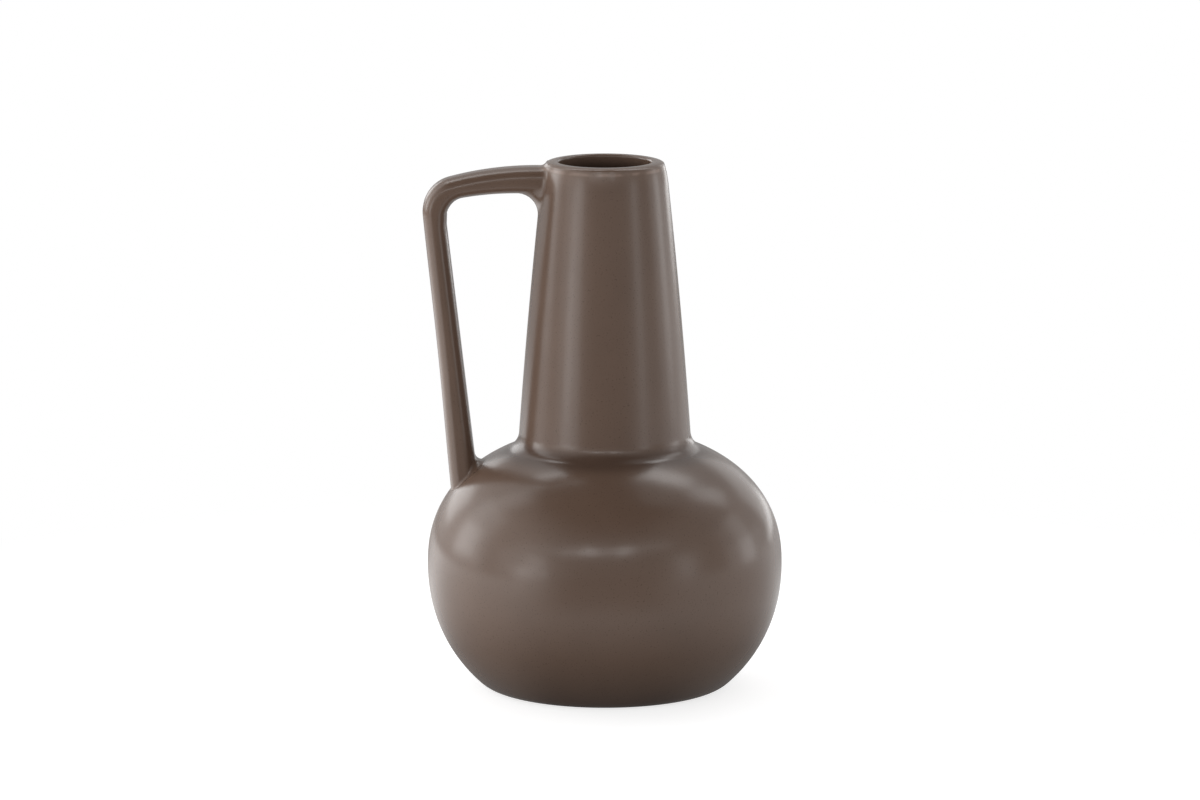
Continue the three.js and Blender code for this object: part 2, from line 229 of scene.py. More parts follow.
# The softboxes: name, azimuth, elevation, width, height and lean in degrees as the vase sees them, level
SOFTBOXES = (
    ("left_softbox", -103, 14, 32, 52, 3, 1.0),
    ("left_softbox_top", -108, 50, 15, 16, 3, 0.94),
    ("left_softbox_upper", -108, 32, 15, 22, 3, 0.39),
    ("left_softbox_middle", -105, 12, 19, 20, 3, 2.0),
    ("left_back_softbox", -147, 15, 30, 18, 0, 1.7),
    ("left_high_softbox", -150, 64.5, 26, 14, -35, 2.8),
    ("left_front_softbox", -42, 3, 10, 32, 12, 1.52),
    ("left_front_softbox_upper", -53, 12, 12, 14, 12, 1.09),
    ("left_front_softbox_lower", -53, -2, 12, 14, 12, 3.09),
    ("left_front_softbox_side", -65, 3, 12, 32, 12, 0.60),
    ("right_softbox_upper", 107, 20, 14, 18, 0, 1.09),
    ("right_softbox_middle", 107, 2, 14, 18, 0, 2.10),
    ("right_softbox_front_upper", 93, 18, 14, 20, 0, 0.39),
    ("right_softbox_front_middle", 93, 0, 14, 20, 0, 0.65),
    ("right_softbox_back_upper", 121, 18, 14, 20, 0, 0.19),
    ("right_softbox_back_middle", 121, 0, 14, 20, 0, 0.40),
    ("right_front_softbox", 53.5, 7, 11, 18, 0, 0.97),
    ("right_front_softbox_edge", 53.5, 5, 26, 34, 0, 0.24),
    ("right_back_softbox_upper", 150, 14, 26, 24, 10, 0.71),
    ("right_back_softbox_lower", 150, -8, 26, 20, 10, 2.10),
    ("high_softbox", 146, 58.5, 14, 6, 33, 0.68),
    ("high_softbox_edge", 146, 58, 24, 14, 33, 2.34),
    ("high_side_softbox", 120.5, 41, 7, 10, 10, 0.31),
    ("high_side_softbox_edge", 121, 42, 14, 20, 15, 1.45),
    ("overhead_softbox", 112, 68, 30, 16, 0, 0.55),
    ("front_bar_left", -45, 25, 36, 6, 4, 0.69),
    ("front_bar_middle", -8, 27, 38, 6, 4, 2.1),
    ("front_bar_right", 28, 29, 36, 6, 4, 1.03),
    ("front_bar_left_lamp", -11, 27, 7, 6, 0, 4.0),
    ("front_bar_right_lamp", 15, 27.5, 7, 6, 0, 4.0),
)


def root(f, low, high, halvings=50):
    """The place between low and high where f changes sign."""
    rising = f(high) > 0
    for _ in range(halvings):
        middle = (low + high) / 2
        if (f(middle) > 0) == rising:
            high = middle
        else:
            low = middle
    return (low + high) / 2


def lerp(a, b, share):
    return a + (b - a) * share


def spread(low, high, steps):
    """steps + 1 evenly spaced numbers."""
    return [lerp(low, high, i / steps) for i in range(steps + 1)]


# A point of the outline is (distance from the axis, height, the way its surface faces).
def shifted(point, distance):
    radius, height, facing = point
    return radius + distance * cos(facing), height + distance * sin(facing), facing


def arc(centre, radius, start, end, steps, hollow=False):
    """Points along an arc, which face away from its centre, or towards it on a hollow one."""
    away = -radius if hollow else radius
    turns = spread(start, end, steps)
    return [(centre[0] + away * cos(a), centre[1] + away * sin(a), a) for a in turns]


def side_curve(power, end_radius, end_height):
    """The bulb's rounded side, from the belly (turn 0) to the axis (a quarter turn)."""
    share = 1 - (end_radius / BELLY_RADIUS) ** power
    reach = (end_height - BELLY_HEIGHT) / share ** (1 / power)

    def curve(turn):
        across = max(cos(turn), 0.0) ** (2 / power)
        along = max(sin(turn), 0.0) ** (2 / power)
        facing = atan2(along ** (power - 1) / reach, across ** (power - 1) / BELLY_RADIUS)
        return BELLY_RADIUS * across, BELLY_HEIGHT + reach * along, facing

    return curve


shoulder = side_curve(SHOULDER_POWER, SEAM_RADIUS, SEAM_HEIGHT)
underside = side_curve(UNDERSIDE_POWER, FOOT_RADIUS, 0.0)


def neck_arc():
    """Centre and radius of the neck's slow outward swell."""
    low, high = Vector((SEAM_RADIUS, SEAM_HEIGHT)), Vector((NECK_TOP_RADIUS, NECK_TOP_HEIGHT))
    half = (high - low).length / 2
    radius = (half**2 + NECK_SWELL**2) / (2 * NECK_SWELL)
    inward = Vector((low.y - high.y, high.x - low.x)).normalized()
    return (low + high) / 2 + inward * (radius - NECK_SWELL), radius


def facing_from(centre, point):
    return atan2(point[1] - centre[1], point[0] - centre[0])


neck_centre, neck_curve = neck_arc()
neck_top_facing = facing_from(neck_centre, (NECK_TOP_RADIUS, NECK_TOP_HEIGHT))


def off_neck(turn):
    x, y, _ = shifted(shoulder(turn), SEAM_FILLET)
    return hypot(x - neck_centre[0], y - neck_centre[1]) - neck_curve - SEAM_FILLET


seam_turn = root(off_neck, *TURN_SEARCH)
seam = shoulder(seam_turn)
fillet_centre = shifted(seam, SEAM_FILLET)
fillet_top_facing = facing_from(neck_centre, fillet_centre)
foot_turn = root(lambda turn: shifted(underside(turn), -FOOT_ROUND)[1] - FOOT_ROUND, *TURN_SEARCH)
foot_centre = shifted(underside(foot_turn), -FOOT_ROUND)
lip_top = NECK_TOP_HEIGHT + LIP_OUTER_HEIGHT
mouth_radius = NECK_TOP_RADIUS - LIP_WALL
NECK_TAPER = (SEAM_RADIUS - NECK_TOP_RADIUS) / (NECK_TOP_HEIGHT - SEAM_HEIGHT)
floor_top = FOOT_RECESS + FLOOR_THICKNESS


def beside_end(values, share=0.04):
    """Adds a value close to the last one, so that shading is true right up to a piece's edge."""
    return [*values[:-1], lerp(values[-1], values[-2], share), values[-1]]


def bulb_side(fine=1):
    """The bulb's outer side, from the foot ring up to the seam."""
    foot = arc(foot_centre, FOOT_ROUND, -QUARTER, underside(foot_turn)[2], FOOT_STEPS * fine)
    below = [underside(turn) for turn in spread(foot_turn, 0.0, SIDE_STEPS * fine)]
    above = [shoulder(turn) for turn in beside_end(spread(0.0, seam_turn, SIDE_STEPS * fine))]
    return foot + below[1:-1] + above


def neck_side(fine=1):
    """The neck's outer side, from the seam up to the lip."""
    turns = spread(fillet_top_facing, seam[2], FILLET_STEPS * fine)
    fillet = [arc(fillet_centre, SEAM_FILLET, a, a, 1, hollow=True)[0] for a in beside_end(turns)]
    neck = arc(neck_centre, neck_curve, fillet_top_facing, neck_top_facing, NECK_STEPS * fine)
    return fillet[::-1] + neck[1:]


def drawn_in(point):
    """A point of the neck's side, which curves in a little just below the lip."""
    radius, height, facing = point
    share = max(height - NECK_TOP_HEIGHT + LIP_DRAWN_REACH, 0.0) / LIP_DRAWN_REACH
    leaning = atan(2 * LIP_DRAWN_IN * share / LIP_DRAWN_REACH)
    return radius - LIP_DRAWN_IN * share**2, height, facing + leaning


def lip_point(turn):
    """A point on the lip's oval outer round, from its side (0) to its top (a quarter turn)."""
    facing = atan2(sin(turn) / LIP_OUTER_HEIGHT, cos(turn) / LIP_OUTER_WIDTH)
    radius = NECK_TOP_RADIUS - LIP_DRAWN_IN - LIP_OUTER_WIDTH + LIP_OUTER_WIDTH * cos(turn)
    return radius, NECK_TOP_HEIGHT + LIP_OUTER_HEIGHT * sin(turn), facing


def lip_outside(fine=1):
    return [lip_point(turn) for turn in spread(0.0, QUARTER, LIP_STEPS * fine)]


def lip_inside():
    centre = (mouth_radius + LIP_INNER_ROUND, lip_top - LIP_INNER_ROUND)
    return arc(centre, LIP_INNER_ROUND, QUARTER, 2 * QUARTER, LIP_STEPS)


def wall_at(height):
    share = (height - SEAM_HEIGHT) / (NECK_TOP_HEIGHT - SEAM_HEIGHT)
    return lerp(WALL, LIP_WALL, min(max(share, 0.0), 1.0))


def floor_ball(turn):
    """Centre of a ball in the hollow that touches the bulb's wall at a turn of its underside."""
    return shifted(underside(turn), -WALL - FLOOR_ROUND)


def inner_side():
    """The hollow's side, from its floor up to the lip's inner round, a wall inside the outer side."""
    turn = root(lambda t: floor_ball(t)[1] - floor_top - FLOOR_ROUND, *TURN_SEARCH)
    centre = floor_ball(turn)
    corner = arc(centre, FLOOR_ROUND, -QUARTER, centre[2], FOOT_STEPS)
    below = [shifted(underside(t), -WALL) for t in spread(turn, 0.0, SIDE_STEPS)]
    above = [shifted(shoulder(t), -WALL) for t in spread(0.0, seam_turn, SIDE_STEPS)]
    neck = [shifted(p, -wall_at(p[1])) for p in neck_side()[1:]]
    neck = [p for p in neck if p[1] < lip_top - 2 * LIP_INNER_ROUND]
    return corner + below[1:] + above[1:] + neck


def cut_at(points, height):
    """An upward line of points in two, below and above a height. Both end at it."""
    for i, (low, high) in enumerate(zip(points, points[1:])):
        if low[1] <= height < high[1]:
            share = (height - low[1]) / (high[1] - low[1])
            middle = tuple(lerp(a, b, share) for a, b in zip(low, high))
            return points[: i + 1] + [middle], [middle] + points[i + 1 :]
    raise ValueError("the outline doesn't reach that height")


def eased(before, corner, after, reach):
    """A corner of the outline between two points, rounded off over a reach to both sides."""
    before, corner, after = Vector(before), Vector(corner), Vector(after)
    start = corner + (before - corner).normalized() * reach
    end = corner + (after - corner).normalized() * reach
    return [start.lerp(corner, s).lerp(corner.lerp(end, s), s) for s in spread(0.0, 1.0, NARROW_STEPS)]


def deselect():
    if bpy.context.object and bpy.context.object.mode != "OBJECT":
        bpy.ops.object.mode_set(mode="OBJECT")
    bpy.ops.object.select_all(action="DESELECT")


def turned(name, outline):
    """A solid turned on the wheel: its outline is drawn by extruding a point, then spun round the axis."""
    deselect()
    bpy.ops.mesh.primitive_plane_add(size=START_SIZE)
    piece = bpy.context.object
    piece.name = name
    bpy.ops.object.mode_set(mode="EDIT")
    bpy.ops.mesh.merge(type="CENTER")
    places = [Vector((p[0], 0.0, p[1])) * MM for p in outline]
    bpy.ops.transform.translate(value=places[0])
    for here, there in zip(places, places[1:]):
        bpy.ops.mesh.extrude_region_move(TRANSFORM_OT_translate={"value": there - here})
    bpy.ops.mesh.select_all(action="SELECT")
    bpy.ops.mesh.spin(steps=TURN_STEPS, angle=2 * pi, center=(0, 0, 0), axis=(0, 0, 1))
    bpy.ops.mesh.select_all(action="SELECT")
    bpy.ops.mesh.remove_doubles(threshold=SAME_POINT)
    bpy.ops.mesh.normals_make_consistent(inside=False)
    bpy.ops.object.mode_set(mode="OBJECT")
    bpy.ops.object.shade_smooth_by_angle(angle=TURNED_EDGE)
    return piece


def make_bulb():
    ring_inside = foot_centre[0] - FOOT_RING_WIDTH
    middle, outside = (0.0, FOOT_RECESS), (foot_centre[0], 0.0)
    upper, lower = (ring_inside - FOOT_RECESS_BEVEL, FOOT_RECESS), (ring_inside, 0.0)
    hollow, _ = cut_at(inner_side(), seam[1])
    outline = [
        middle,
        *eased(middle, upper, lower, FOOT_RING_EASE),
        *eased(upper, lower, outside, FOOT_RING_EASE),
        *bulb_side(),
        *hollow[::-1],
        (0.0, floor_top),
    ]
    return turned("bulb_glazed", outline)


def make_neck():
    _, hollow = cut_at(inner_side(), seam[1])
    outline = [*map(drawn_in, neck_side()), *lip_outside()[1:], *lip_inside(), *hollow[::-1], seam]
    return turned("neck_glazed", outline)


# The vase's outer surface, fine enough to measure from, where the handle is smoothed into it
surface = bulb_side(4) + [*map(drawn_in, neck_side(4)[1:])] + lip_outside(4)[1:]
surface.append((mouth_radius, lip_top, QUARTER))


def nearest(radius, height):
    """The surface's nearest point, and how far outside it the given point is."""
    best = None
    for low, high in zip(surface, surface[1:]):
        run, rise = high[0] - low[0], high[1] - low[1]
        length = run * run + rise * rise
        share = ((radius - low[0]) * run + (height - low[1]) * rise) / length if length else 0.0
        share = min(max(share, 0.0), 1.0)
        x, y = low[0] + share * run, low[1] + share * rise
        gap = hypot(radius - x, height - y)
        if best is None or gap < best[0]:
            best = (gap, x, y, lerp(low[2], high[2], share))
    gap, x, y, facing = best
    outward = (radius - x) * cos(facing) + (height - y) * sin(facing) >= 0
    return (x, y, facing), gap if outward else -gap


def shoulder_height(radius):
    return shoulder(root(lambda turn: shoulder(turn)[0] - radius, 0.0, QUARTER))[1]


def drawn_out(name, rings):
    """A solid drawn out from a round of clay: its end is extruded and shaped to each ring in turn."""
    deselect()
    bpy.ops.mesh.primitive_circle_add(vertices=len(rings[0]), radius=START_SIZE, fill_type="NGON")
    piece = bpy.context.object
    piece.name = name
    bpy.ops.object.mode_set(mode="EDIT")
    shape = bmesh.from_edit_mesh(piece.data)
    shape.verts.ensure_lookup_table()
    for vertex, place in zip(shape.verts, rings[0]):
        vertex.co = place
    for here, there in zip(rings, rings[1:]):
        bpy.ops.mesh.extrude_region_move()
        for vertex in shape.verts:
            if vertex.select:
                index = min(range(len(here)), key=lambda i: (vertex.co - here[i]).length_squared)
                vertex.co = there[index]
    bpy.ops.mesh.select_all(action="SELECT")
    bpy.ops.mesh.normals_make_consistent(inside=False)
    bpy.ops.object.mode_set(mode="OBJECT")
    bpy.ops.object.shade_smooth_by_angle(angle=DRAWN_EDGE)
    return piece


class Strap:
    """The handle's clay strap. Its outer face runs from inside the neck to inside the bulb."""

    def __init__(self, outermost):
        self.corner_reach = outermost - HANDLE_CORNER
        self.arch_reach = self.corner_reach - (BAR_ARCH - HANDLE_CORNER) * sin(HANDLE_SLOPE)
        self.arch_height = lip_top - HANDLE_BELOW_LIP - BAR_ARCH
        self.corner_height = self.arch_height + (BAR_ARCH - HANDLE_CORNER) * cos(HANDLE_SLOPE)
        self.start = asin((NECK_TOP_RADIUS / 2 - self.arch_reach) / BAR_ARCH)
        foot_reach = BELLY_RADIUS - HANDLE_FOOT_INSET
        across, drop = foot_reach - self.corner_reach, self.corner_height - shoulder_height(foot_reach)
        away = hypot(across, drop)
        self.leg_heading = QUARTER + atan2(drop, across) - acos(HANDLE_CORNER / away)
        self.bar = BAR_ARCH * (HANDLE_SLOPE - self.start)
        self.corner = HANDLE_CORNER * (self.leg_heading - HANDLE_SLOPE)
        self.leg = sqrt(away**2 - HANDLE_CORNER**2)

    def fullness(self, run):
        """Thickness added at the corner, where the inner round is wider than an even strap would have."""
        half_turn = (self.leg_heading - HANDLE_SLOPE) / 2
        even = HANDLE_CORNER - (BAR_THICKNESS_AT_CORNER + LEG_THICKNESS_AT_TOP) / 2
        further_in = (HANDLE_INNER_CORNER - even) / cos(half_turn)
        turn = (run - self.bar) / HANDLE_CORNER - half_turn
        past = max(abs(turn) - half_turn, 0.0) * HANDLE_CORNER
        within = min(max(turn, -half_turn), half_turn)
        aside = max(further_in * sin(abs(within)) - past, 0.0)
        return even + further_in * cos(within) - sqrt(HANDLE_INNER_CORNER**2 - aside**2)

    def station(self, run):
        """Reach, height, heading and thickness at a run along the outer face."""
        full = self.fullness(run)
        if run < self.bar:
            share = run / self.bar
            heading = lerp(self.start, HANDLE_SLOPE, share)
            thickness = lerp(BAR_THICKNESS_AT_NECK, BAR_THICKNESS_AT_CORNER, share) + full
            reach = self.arch_reach + BAR_ARCH * sin(heading)
            height = self.arch_height + BAR_ARCH * cos(heading)
            return reach, height, heading, thickness
        run -= self.bar
        heading = min(HANDLE_SLOPE + run / HANDLE_CORNER, self.leg_heading)
        reach = self.corner_reach + HANDLE_CORNER * sin(heading)
        height = self.corner_height + HANDLE_CORNER * cos(heading)
        if run < self.corner:
            thickness = lerp(BAR_THICKNESS_AT_CORNER, LEG_THICKNESS_AT_TOP, run / self.corner)
            return reach, height, heading, thickness + full
        run -= self.corner
        share = run / self.leg
        hollow = LEG_HOLLOW * sin(pi * min(share, 1.0)) ** 2
        thickness = lerp(LEG_THICKNESS_AT_TOP, LEG_THICKNESS_AT_FOOT, share) - hollow + full
        reach += run * cos(heading) - hollow * sin(heading)
        return reach, height - run * sin(heading) - hollow * cos(heading), heading, thickness

    def point(self, run, place):
        """A point of the strap's skin and the way it faces. place is a point of its section."""
        reach, height, heading, thickness = self.station(run)
        deep, side, faces_in, faces_side = place(thickness)
        skin = Vector((-(reach - deep * sin(heading)), side, height - deep * cos(heading)))
        return skin, Vector((faces_in * sin(heading), faces_side, -faces_in * cos(heading)))


def section_places():
    """Places round the strap's section, each a function of its thickness: depth under the outer face,
    distance to the side, and the two shares of the way it faces, inwards and to the side."""
    half = HANDLE_DEPTH / 2
    flat = half - HANDLE_EDGE_DEPTH
    places = []

    def add(deep, side, faces_in, faces_side):
        places.append(lambda thickness: (deep(thickness), side, faces_in, faces_side))

    def add_corner(inner, right, start):
        for turn in spread(start, start + QUARTER, EDGE_STEPS):
            base = (lambda t: t - HANDLE_EDGE) if inner else (lambda t: HANDLE_EDGE)
            faces = Vector((sin(turn) / HANDLE_EDGE, cos(turn) / HANDLE_EDGE_DEPTH)).normalized()
            add(
                lambda t, b=base, a=turn: b(t) + HANDLE_EDGE * sin(a),
                flat * (1 if right else -1) + HANDLE_EDGE_DEPTH * cos(turn),
                faces.x,
                faces.y,
            )

    add_corner(inner=True, right=True, start=0.0)
    for side in spread(flat, -flat, BROAD_STEPS)[1:-1]:
        add(lambda t: t, side, 1.0, 0.0)
    add_corner(inner=True, right=False, start=QUARTER)
    for share in spread(0.0, 1.0, NARROW_STEPS)[1:-1]:
        add(lambda t, s=share: lerp(t - HANDLE_EDGE, HANDLE_EDGE, s), -half, 0.0, -1.0)
    add_corner(inner=False, right=False, start=2 * QUARTER)
    for side in spread(-flat, flat, BROAD_STEPS)[1:-1]:
        add(lambda t: 0.0, side, -1.0, 0.0)
    add_corner(inner=False, right=True, start=3 * QUARTER)
    for share in spread(0.0, 1.0, NARROW_STEPS)[1:-1]:
        add(lambda t, s=share: lerp(HANDLE_EDGE, t - HANDLE_EDGE, s), half, 0.0, 1.0)
    return places


def rolled_join(strap, place, radius, free_run, sunk_run):
    """Where a ball of that radius, rolled along the strap's skin, touches the vase: its run, and the
    points of the arc it leaves, tucked in under the vase's skin at their end."""

    def ball(run):
        skin, faces = strap.point(run, place)
        return skin + faces * radius

    def clearance(run):
        centre = ball(run)
        return nearest(hypot(centre.x, centre.y), centre.z)[1] - radius

    run = root(clearance, sunk_run, free_run, halvings=30)
    centre = ball(run)
    (reach, height, facing), _ = nearest(hypot(centre.x, centre.y), centre.z)
    round_axis = Vector((centre.x, centre.y, 0.0)).normalized()
    normal = round_axis * cos(facing) + Vector((0, 0, sin(facing)))
    touch = round_axis * reach + Vector((0, 0, height))
    start = (strap.point(run, place)[0] - centre).normalized()
    end = (touch - centre).normalized()
    turn = acos(max(-1.0, min(1.0, start.dot(end))))
    points = []
    for share in spread(0.0, 1.0, JOIN_RINGS)[1:]:
        direction = (start * sin((1 - share) * turn) + end * sin(share * turn)) / sin(turn)
        points.append(centre + direction * radius)
    onward = (end * cos(turn) - start).normalized()
    points.append(touch + onward * JOIN_TUCK - normal * JOIN_TUCK_DEPTH)
    points.append(touch - normal * JOIN_ROOT_DEPTH)
    return run, points


def make_handle():
    strap = Strap(-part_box("handle")[0].x / MM - HANDLE_CLEARANCE)
    places = section_places()
    off_the_neck = strap.bar * BAR_SEARCH_SHARE
    off_the_bulb = strap.bar + strap.corner + strap.leg * LEG_SEARCH_SHARE
    past_the_end = strap.bar + strap.corner + strap.leg + LEG_THICKNESS_AT_FOOT
    columns = []
    for place in places:
        _, _, faces_in, _ = place(1.0)
        under = max(faces_in, 0.0) ** 2
        neck_ball = lerp(NECK_JOIN_ROUND, NECK_JOIN_ROUND_UNDER, under)
        foot_ball = lerp(FOOT_JOIN_ROUND, FOOT_JOIN_ROUND_INSIDE, under)
        at_neck, neck_points = rolled_join(strap, place, neck_ball, off_the_neck, 0.0)
        at_foot, foot_points = rolled_join(strap, place, foot_ball, off_the_bulb, past_the_end)
        runs = spread(at_neck, strap.bar, BAR_RINGS)
        runs += spread(strap.bar, strap.bar + strap.corner, CORNER_RINGS)[1:]
        runs += spread(strap.bar + strap.corner, at_foot, LEG_RINGS)[1:]
        skin = [strap.point(run, place)[0] for run in runs]
        columns.append(neck_points[::-1] + skin + foot_points)
    rings = [[column[i] * MM for column in columns] for i in range(len(columns[0]))]
    return drawn_out("handle_glazed", rings)


def make_camera():
    data = bpy.data.cameras.new("camera")
    camera = bpy.data.objects.new("camera", data)
    bpy.context.scene.collection.objects.link(camera)
    back = Vector((0, -cos(CAMERA_ELEVATION), sin(CAMERA_ELEVATION)))
    right, up = Vector((1, 0, 0)), Vector((0, sin(CAMERA_ELEVATION), cos(CAMERA_ELEVATION)))
    place = Vector((0, 0, AIM_HEIGHT)) + back * CAMERA_DISTANCE
    aside = (PHOTO_WIDTH / 2 - AIM_PIXEL[0]) / PIXELS_PER_MM
    above = (AIM_PIXEL[1] - PHOTO_HEIGHT / 2) / PIXELS_PER_MM
    seen = Vector((0, 0, AIM_HEIGHT)) + right * aside + up * above
    camera.location = place * MM
    camera.rotation_euler = (place - seen).to_track_quat("Z", "Y").to_euler()
    data.sensor_width = SENSOR_WIDTH
    data.lens = SENSOR_WIDTH * CAMERA_DISTANCE / (PHOTO_WIDTH / PIXELS_PER_MM)
    data.clip_end = CLIP_END
    bpy.context.scene.camera = camera


class Signal:
    """A shader socket to do sums with: each sum adds its Math node."""

    def __init__(self, nodes, socket):
        self.nodes = nodes
        self.socket = socket

    def worked(self, operation, first, second):
        return self.nodes.add("Math", {"operation": operation}, {0: first, 1: second})

    def __add__(self, other):
        return self.worked("ADD", self, other)

    def __radd__(self, other):
        return self.worked("ADD", other, self)

    def __sub__(self, other):
        return self.worked("SUBTRACT", self, other)

    def __rsub__(self, other):
        return self.worked("SUBTRACT", other, self)

    def __mul__(self, other):
        return self.worked("MULTIPLY", self, other)

    def __rmul__(self, other):
        return self.worked("MULTIPLY", other, self)


class Nodes:
    """The nodes of one material or of the world."""

    def __init__(self, owner):
        owner.use_nodes = True
        self.tree = owner.node_tree
        self.tree.nodes.clear()

    def add(self, kind, settings=None, sockets=None, output=0):
        """Adds a node, its settings first, then its sockets' values or links. Gives its output."""
        node = self.tree.nodes.new("ShaderNode" + kind)
        for name, value in (settings or {}).items():
            setattr(node, name, value)
        for name, value in (sockets or {}).items():
            if isinstance(value, Signal):
                self.tree.links.new(value.socket, node.inputs[name])
            else:
                node.inputs[name].default_value = value
        return Signal(self, node.outputs[output]) if node.outputs else None

    def noise(self, place, size, detail=2.0, roughness=0.5):
        """Cloudy noise about 0.5, with clouds of a size in metres."""
        look = {"Scale": 1 / size, "Detail": detail, "Roughness": roughness}
        return self.add("TexNoise", sockets={"Vector": place, **look})

    def ramp(self, value, start, end, low=0.0, high=1.0):
        """A smooth step from low to high while the value goes from start to end."""
        return self.add(
            "MapRange",
            {"interpolation_type": "SMOOTHSTEP"},
            {"Value": value, "From Min": start, "From Max": end, "To Min": low, "To Max": high},
        )

    def profile(self, value, places, levels):
        """Straight lines between levels at rising places, and even beyond the first and last."""
        level = levels[0]
        for i in range(len(places) - 1):
            stretch = {"From Min": places[i], "From Max": places[i + 1]}
            rise = {"To Min": 0.0, "To Max": levels[i + 1] - levels[i]}
            level = level + self.add("MapRange", sockets={"Value": value, **stretch, **rise})
        return level

    def blend(self, mask, below, above):
        """A colour between two others."""
        return self.add("Mix", {"data_type": "RGBA"}, {"Factor": mask, 6: below, 7: above}, output=2)


def satin_glaze():
    """Brown satin glaze with faint clouds and specks, painted shade in the crease at the seam, thin over
    the lip, painted shade darkening the inside of the neck, and wiped off the ring that stood on the kiln
    shelf."""
    material = bpy.data.materials.new("satin_glaze")
    nodes = Nodes(material)
    place = nodes.add("TexCoord", output="Object")
    height = nodes.add("SeparateXYZ", sockets={0: place}, output="Z")
    level_place = nodes.add("VectorMath", {"operation": "MULTIPLY"}, {0: place, 1: (1, 1, 0)})
    reach = nodes.add("VectorMath", {"operation": "LENGTH"}, {0: level_place}, output="Value")

    clouds = nodes.noise(place, CLOUD_SIZE, detail=3.0)
    grain = nodes.noise(place, GRAIN_SIZE, detail=1.0)
    specks = nodes.ramp(nodes.noise(place, SPECK_SIZE, detail=0.0), *SPECK_SPREAD)
    glaze = nodes.blend(nodes.ramp(clouds, *CLOUD_SPREAD), GLAZE_DEEP, GLAZE_PALE)
    glaze = nodes.blend(specks * SPECK_DEPTH, glaze, GLAZE_SPECK)

    # Painted shade: the crease at the seam is darkened where the neck shades the shoulder.
    seam_shade = nodes.ramp(height, *SEAM_SHADE_FROM_BELOW) * nodes.ramp(height, *SEAM_SHADE_FROM_ABOVE)
    seam_shade = seam_shade * nodes.ramp(reach, *SEAM_SHADE_FROM_OUTSIDE)
    glaze = nodes.blend(seam_shade * SEAM_SHADE_SHARE, glaze, SEAM_PAINTED_SHADE)
    lip_line = nodes.ramp(height, *LIP_LINE_FROM_BELOW) * nodes.ramp(height, *LIP_LINE_FROM_ABOVE)
    breaks = nodes.noise(place, LIP_LINE_BREAKS_SIZE)
    lip_line = lip_line * nodes.ramp(breaks, *LIP_LINE_BREAKS, *LIP_LINE_SHARES)
    beyond_neck = reach - (NECK_TOP_RADIUS * MM + (NECK_TOP_HEIGHT * MM - height) * NECK_TAPER)
    thin = lip_line + nodes.ramp(height, *THINNING) * THINNING_SHARE
    thin = thin * nodes.ramp(reach, *OFF_THE_HANDLE)
    glaze = nodes.blend(thin * nodes.ramp(beyond_neck, *OUTER_SKIN), glaze, GLAZE_THIN)
    # Painted shade: the inside of the neck is darkened below the lip, where less light reaches.
    inside = nodes.ramp(beyond_neck, *INNER_SKIN) * nodes.ramp(height, *BELOW_THE_LIP)
    inside = inside * nodes.ramp(height, *ABOVE_THE_FOOT)
    glaze = nodes.blend(inside, glaze, INSIDE_PAINTED_SHADE)

    clay = nodes.blend(grain, CLAY_DEEP, CLAY_PALE)
    edge = nodes.noise(place, GLAZE_EDGE_SIZE) * GLAZE_EDGE_WANDER + GLAZE_EDGE_HEIGHT
    bare = nodes.ramp(height - edge, 0.0, -GLAZE_EDGE_WANDER / 2)
    shine = GLAZE_ROUGHNESS + (clouds - 0.5) * CLOUD_DULLING + (grain - 0.5) * GRAIN_DULLING
    surface_height = nodes.noise(place, WAVE_SIZE, detail=1.0) * WAVE_HEIGHT
    surface_height = surface_height + nodes.noise(place, PEEL_SIZE, detail=1.0) * PEEL_HEIGHT
    surface_height = surface_height + grain * bare * CLAY_GRAIN_HEIGHT
    bump = nodes.add("Bump", sockets={"Strength": 1.0, "Distance": 1.0, "Height": surface_height})
    finish = nodes.add(
        "BsdfPrincipled",
        sockets={
            "Base Color": nodes.blend(bare, glaze, clay),
            "Roughness": shine * (1 - bare) + CLAY_ROUGHNESS * bare,
            "Normal": bump,
            "IOR": GLAZE_IOR,
        },
    )
    nodes.add("OutputMaterial", sockets={"Surface": finish})
    return material


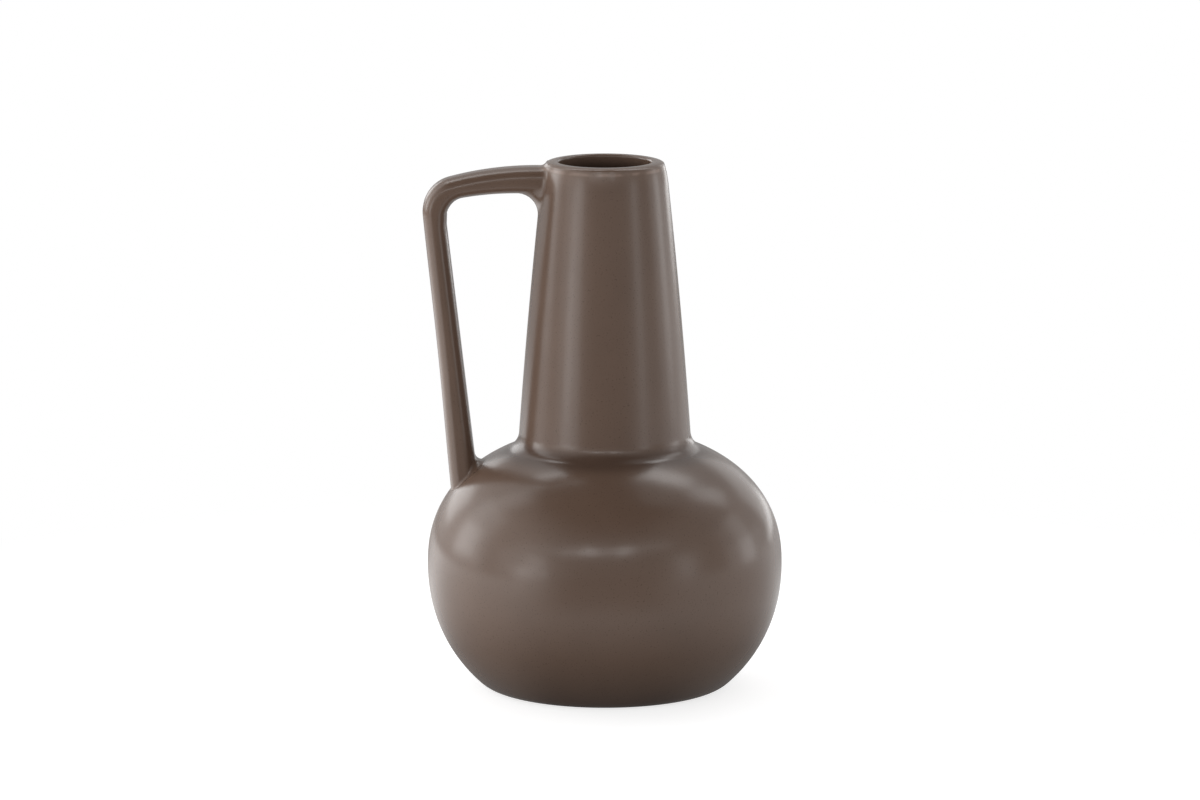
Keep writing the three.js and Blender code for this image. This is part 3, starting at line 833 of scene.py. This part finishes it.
def make_floor():
    """A pale table top. The camera sees the vase's shadow on it, fading into the white behind. The vase
    sees it glow as in the studio: dim close by, and brightest to the left."""
    deselect()
    bpy.ops.mesh.primitive_circle_add(vertices=FLOOR_SIDES, radius=FLOOR_RADIUS, fill_type="NGON")
    floor = bpy.context.object
    floor.name = "floor"
    bpy.ops.transform.translate(value=(0, 0, -FLOOR_GAP))
    bpy.ops.object.transform_apply(location=True, rotation=False, scale=False)
    material = bpy.data.materials.new("pale_floor")
    nodes = Nodes(material)
    place = nodes.add("TexCoord", output="Object")
    away = nodes.add("VectorMath", {"operation": "LENGTH"}, {0: place}, output="Value")
    seen = nodes.add("LightPath", output="Is Camera Ray")
    paint = nodes.add("BsdfDiffuse", sockets={"Color": (*[FLOOR_COLOUR] * 3, 1)})
    lift = nodes.add("Emission", sockets={"Color": WHITE, "Strength": FLOOR_LIFT})
    lifted = nodes.add("AddShader", sockets={0: paint, 1: lift})
    white = nodes.add("Emission", sockets={"Color": WHITE, "Strength": 1.0})
    look = nodes.add("MixShader", sockets={0: nodes.ramp(away, *FLOOR_FADE), 1: lifted, 2: white})

    doublings = nodes.add("Math", {"operation": "LOGARITHM"}, {0: away, 1: 2.0})
    places = [log2(distance) for distance in GLOW_DISTANCES]
    way = nodes.add("VectorMath", {"operation": "NORMALIZE"}, {0: place})
    across = nodes.add("SeparateXYZ", sockets={0: way}, output="X")
    behind = nodes.add("SeparateXYZ", sockets={0: way}, output="Y")
    left, right = nodes.ramp(across, *GLOW_LEFT_SIDE), nodes.ramp(across, *GLOW_RIGHT_SIDE)
    glow = nodes.profile(doublings, places, GLOW_LEFT) * left
    glow = glow + nodes.profile(doublings, places, GLOW_RIGHT) * right
    glow = glow + nodes.profile(doublings, places, GLOW_MIDDLE) * (1 - left - right)
    far_behind = nodes.ramp(behind, *GLOW_BEHIND_SIDE) * nodes.ramp(away, *GLOW_BEHIND_DISTANCE)
    glow = glow + far_behind * GLOW_BEHIND
    glow = nodes.add("Emission", sockets={"Color": WHITE, "Strength": glow})
    surface_look = nodes.add("MixShader", sockets={0: seen, 1: glow, 2: look})
    nodes.add("OutputMaterial", sockets={"Surface": surface_look})
    floor.data.materials.append(material)


def direction(azimuth, elevation):
    """A direction from the vase. Azimuth runs from the camera's side round to the right."""
    azimuth, elevation = radians(azimuth), radians(elevation)
    return Vector((sin(azimuth) * cos(elevation), -cos(azimuth) * cos(elevation), sin(elevation)))


def soft_light(name, azimuth, elevation, width, height, lean, level):
    """A softbox that shines evenly. Its width and height are angles as the vase sees it."""
    data = bpy.data.lights.new(name, "AREA")
    data.shape = "RECTANGLE"
    data.size = 2 * LIGHT_DISTANCE * tan(radians(width / 2))
    data.size_y = 2 * LIGHT_DISTANCE * tan(radians(height / 2))
    data.energy = level * pi * data.size * data.size_y
    light = bpy.data.objects.new(name, data)
    bpy.context.scene.collection.objects.link(light)
    towards = direction(azimuth, elevation)
    light.location = towards * LIGHT_DISTANCE + Vector((0, 0, LIGHT_AIM * MM))
    turn = towards.to_track_quat("Z", "Y") @ Quaternion((0, 0, 1), radians(lean))
    light.rotation_euler = turn.to_euler()
    light.visible_camera = False


def make_lights():
    for softbox in SOFTBOXES:
        soft_light(*softbox)


def make_world():
    """The room: walls that are palest to the left, above them a ceiling lit most from behind, and no
    light straight overhead. The camera sees white."""
    world = bpy.data.worlds.new("studio")
    bpy.context.scene.world = world
    nodes = Nodes(world)
    way = nodes.add("TexCoord", output="Generated")
    parts = nodes.add("SeparateXYZ", sockets={0: way})
    x, y, z = (Signal(nodes, socket) for socket in parts.socket.node.outputs)
    left, right = nodes.ramp(x, *ROOM_LEFT_SIDE), nodes.ramp(x, *ROOM_RIGHT_SIDE)
    back = nodes.ramp(y, *ROOM_BACK_SIDE)
    walls = ROOM_FRONT + back * (ROOM_BACK - ROOM_FRONT) + left * ROOM_LEFT + right * ROOM_RIGHT
    ceiling = back * CEILING_BACK + left * CEILING_LEFT + right * CEILING_RIGHT
    below_ceiling = nodes.ramp(z, *CEILING_START, 1.0, 0.0)
    below_top = nodes.ramp(z, *CEILING_END, 1.0, 0.0)
    room = walls * below_ceiling + ceiling * (below_top - below_ceiling)
    seen = nodes.add("LightPath", output="Is Camera Ray")
    level = seen + (1 - seen) * room
    background = nodes.add("Background", sockets={"Color": WHITE, "Strength": level})
    nodes.add("OutputWorld", sockets={0: background})


pieces = {"bulb": make_bulb(), "neck": make_neck(), "handle": make_handle()}
glaze = satin_glaze()
for node, piece in pieces.items():
    piece.data.materials.append(glaze)
    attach(piece, "root")
    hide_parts(node)

make_floor()
make_camera()
make_lights()
make_world()
bpy.context.scene.view_settings.view_transform = "Standard"
